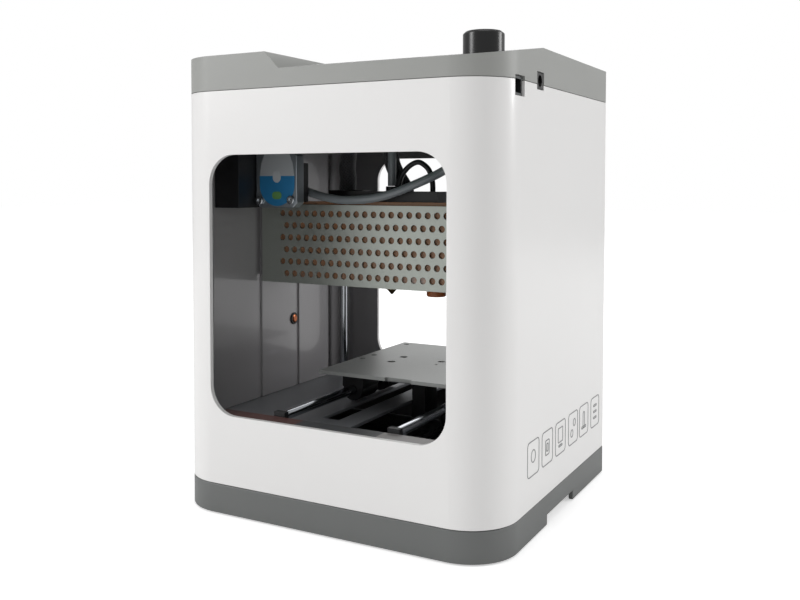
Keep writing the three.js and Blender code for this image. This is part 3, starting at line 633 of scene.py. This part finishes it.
def slab(name, loop, plane, depth, body, finish):
    # A closed outline facing Y, given thickness: the loop at plane, and again depth further out.
    n = len(loop)
    points = np.vstack([np.column_stack([loop[:, 0], np.full(n, level), loop[:, 1]])
                        for level in (plane, plane + depth)]) * mm
    k = np.arange(n)
    walls = np.stack([k, (k + 1) % n, (k + 1) % n + n, k + n], -1).tolist()
    caps = [k[::-1].tolist(), (k + n).tolist()]
    turnOutward(makePiece(name, points, walls + caps, body, finish, smooth=False))


def shieldLoop(centreX, halfWidth, top, bend, low, steps=24):  # narrowed head, half-round foot
    angle = np.linspace(0, -np.pi, steps)
    foot = np.column_stack([centreX + halfWidth * np.cos(angle), bend + (bend - low) * np.sin(angle)])
    shoulder = (bend + 2 * top) / 3
    head = np.array([(centreX - halfWidth, bend + 5), (centreX - halfWidth * 0.9, shoulder),
                     (centreX - halfWidth * 0.68, top), (centreX + halfWidth * 0.68, top),
                     (centreX + halfWidth * 0.9, shoulder), (centreX + halfWidth, bend + 5)])
    return np.vstack([foot, head])


labelPlate = {"centreX": -63.3, "halfWidth": 13.2, "top": 215.4, "bend": 195.0, "low": 181.8, "split": 200.6,
              "tabHalf": 3.0, "tabLow": 196.4}
finishes["foilLabel"] = twoToneLabel("blueSilverFoilLabel", labelPlate["split"] * mm)
finishes["foilTab"] = mouldedPlastic("silverFoilTab", "#b4b8bb", "#a7abae", 0.34, 0.8, 0.05)
finishes["foilMark"] = mouldedPlastic("greenFoilMark", "#5f8f52", "#527f47", 0.36, 0.8, 0.05)
labelShape = {key: labelPlate[key] for key in ("centreX", "halfWidth", "top", "bend", "low")}
slab("motorLabel", shieldLoop(**labelShape), -50.06, -0.25, "beam", "foilLabel")
tabLoop = shieldLoop(labelPlate["centreX"], labelPlate["tabHalf"], 204.0, 199.4, labelPlate["tabLow"], 12)
slab("motorLabelTab", tabLoop, -50.34, -0.1, "beam", "foilTab")
markLoop = roundedLoop(3.6, 2.4, 2.3, 6) + np.array((-63.3, 188.4))
slab("motorLabelMark", markLoop, -50.34, -0.1, "beam", "foilMark")


# side badges: six outlines in a row on the right wall, with plain shapes inside

badges = {"face": 105.0, "lift": 0.16, "line": 0.55, "height": 46.0, "half": (9.2, 9.6), "corner": 2.6,
          "centres": (-47.7, -24.2, -0.6, 24.0, 46.4, 71.2)}


def ribbons(name, loops, face, lift, line, body, finish):
    # Flat closed lines on a wall: each loop is carried as a low rectangular section.
    points, faces, start = [], [], 0
    for loop in loops:
        step = np.roll(loop, -1, 0) - np.roll(loop, 1, 0)
        out = np.column_stack([step[:, 1], -step[:, 0]]) / np.linalg.norm(step, axis=1)[:, None] * line / 2
        n = len(loop)
        corners = ((-0.1, 1), (lift, 1), (lift, -1), (-0.1, -1))
        ring = [np.column_stack([np.full(n, face + high), loop + wide * out]) for high, wide in corners]
        points.append(np.vstack(ring))
        k = np.arange(n)
        for a in range(4):
            b = (a + 1) % 4
            faces.append(start + np.stack([a * n + k, a * n + (k + 1) % n, b * n + (k + 1) % n, b * n + k], -1))
        start += 4 * n
    turnOutward(makePiece(name, np.vstack(points) * mm, np.vstack(faces), body, finish))


def badgeLoops():
    s = badges
    glyphs = [
        [(0.0, 1.0, 3.4, 3.4, 3.3)],
        [(0.0, 0.0, 3.2, 4.2, 0.8), (0.0, 0.0, 1.2, 2.2, 0.5)],
        [(0.0, 1.6, 4.2, 4.2, 0.6), (0.0, -4.8, 3.2, 0.5, 0.3)],
        [(-2.4, -3.0, 2.2, 2.2, 2.1), (2.4, 3.0, 2.2, 2.2, 2.1)],
        [(0.0, 0.0, 1.6, 5.2, 1.5), (0.0, -4.6, 4.4, 0.6, 0.4)],
        [(0.0, 4.0, 3.2, 0.5, 0.3), (0.0, 0.0, 3.2, 0.5, 0.3), (0.0, -4.0, 3.2, 0.5, 0.3)],
    ]
    loops = []
    for y, marks in zip(s["centres"], glyphs):
        loops.append(roundedLoop(*s["half"], s["corner"]) + np.array([y, s["height"]]))
        loops += [roundedLoop(a, b, c, 6) + np.array([y + u, s["height"] + v]) for u, v, a, b, c in marks]
    return loops


ribbons("sideBadges", badgeLoops(), badges["face"], badges["lift"], badges["line"], "housing", "inkGrey")
print("stage: trim")
